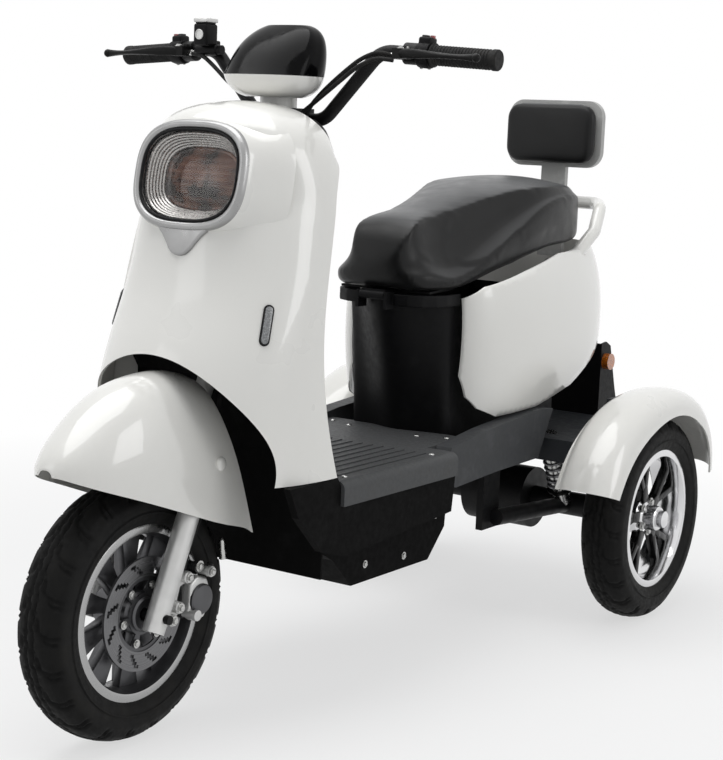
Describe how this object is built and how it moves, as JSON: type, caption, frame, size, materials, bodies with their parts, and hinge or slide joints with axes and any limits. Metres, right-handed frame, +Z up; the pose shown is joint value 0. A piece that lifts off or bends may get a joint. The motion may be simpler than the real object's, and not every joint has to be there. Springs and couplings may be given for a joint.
{
  "type": "electric three-wheel scooter",
  "caption": "Electric three-wheel scooter with steered front wheel, tall front shield, flat floor, lifting seat over a storage bucket, backrest and twin fendered rear wheels.",
  "frame": {"origin": "ground point below the middle of the bounding box", "axes": "+Z up, -Y towards the front wheel, +X towards the rider's left"},
  "size_m": [0.7586, 1.631, 1.112],
  "materials": {
    "amber": "amber lens",
    "battery_grey": "battery case",
    "black_trim": "grained black plastic",
    "body_white": "glossy painted shell",
    "deck_grey": "grey painted sheet",
    "floor_grey": "ribbed grey rubber mat",
    "frame_black": "black powder coat",
    "lamp_glass": "clear lens",
    "lamp_mirror": "bright reflector bowl",
    "red": "red lens",
    "reflector_grey": "ribbed clear reflector",
    "rim_front": "dark cast alloy",
    "rim_rear": "polished cast alloy",
    "rubber_black": "soft black rubber",
    "seat_vinyl": "satin black vinyl",
    "silver": "satin silver",
    "smoke_glass": "smoked gloss cover",
    "steel": "ground steel",
    "tyre_black": "black rubber tread"
  },
  "bodies": {
    "chassis": {"backrest_frame": "body_white", "backrest_pad": "seat_vinyl", "battery": "battery_grey", "belly_pan": "black_trim", "floor_board": "floor_grey", "front_shield": "body_white", "grab_rail": "body_white", "headlamp_bezel": "silver", "headlamp_lens": "lamp_glass", "headlamp_reflector": "lamp_mirror", "legshield": "black_trim", "lower_fairings": "black_trim", "main_frame": "frame_black", "rear_axle": "frame_black", "rear_deck": "deck_grey", "rear_fender_left": "body_white", "rear_fender_right": "body_white", "rear_shocks": "steel", "rear_side_covers": "black_trim", "seat_bucket": "black_trim", "shield_reflectors": "reflector_grey", "side_panel_left": "body_white", "side_panel_right": "body_white", "tail_bracket": "frame_black", "tail_lamp": "red", "turn_signals": "amber", "wheel_well": "black_trim"},
    "steering": {"fork": "silver", "front_axle": "silver", "front_fender": "body_white", "brake_caliper": "silver", "brake_hose": "rubber_black", "handlebar": "frame_black", "hand_grips": "rubber_black", "brake_levers": "silver", "master_cylinder": "black_trim", "switch_housing": "black_trim", "display_cowl": "body_white", "display_visor": "smoke_glass", "control_cables": "rubber_black"},
    "front_wheel": {"front_tyre": "tyre_black", "front_rim": "rim_front", "brake_disc": "steel"},
    "rear_wheel_left": {"rear_tyre_left": "tyre_black", "rear_rim_left": "rim_rear"},
    "rear_wheel_right": {"rear_tyre_right": "tyre_black", "rear_rim_right": "rim_rear"},
    "seat_lid": {"seat_cushion": "seat_vinyl", "seat_base": "black_trim"}
  },
  "joints": [
    {"name": "steering_turn", "type": "hinge", "parent": "chassis", "child": "steering", "pos_m": [0, -0.582, 0.203], "axis": [0, 0.4115, 0.9114], "range_deg": [-35, 35]},
    {"name": "front_wheel_spin", "type": "hinge", "parent": "steering", "child": "front_wheel", "pos_m": [0, -0.612, 0.203], "axis": [1, 0, 0], "continuous": true},
    {"name": "rear_wheel_left_spin", "type": "hinge", "parent": "chassis", "child": "rear_wheel_left", "pos_m": [0.31, 0.553, 0.203], "axis": [1, 0, 0], "continuous": true},
    {"name": "rear_wheel_right_spin", "type": "hinge", "parent": "chassis", "child": "rear_wheel_right", "pos_m": [-0.31, 0.553, 0.203], "axis": [1, 0, 0], "continuous": true},
    {"name": "seat_lift", "type": "hinge", "parent": "chassis", "child": "seat_lid", "pos_m": [0, 0.031, 0.646], "axis": [1, 0, 0], "range_deg": [0, 65]}
  ]
}
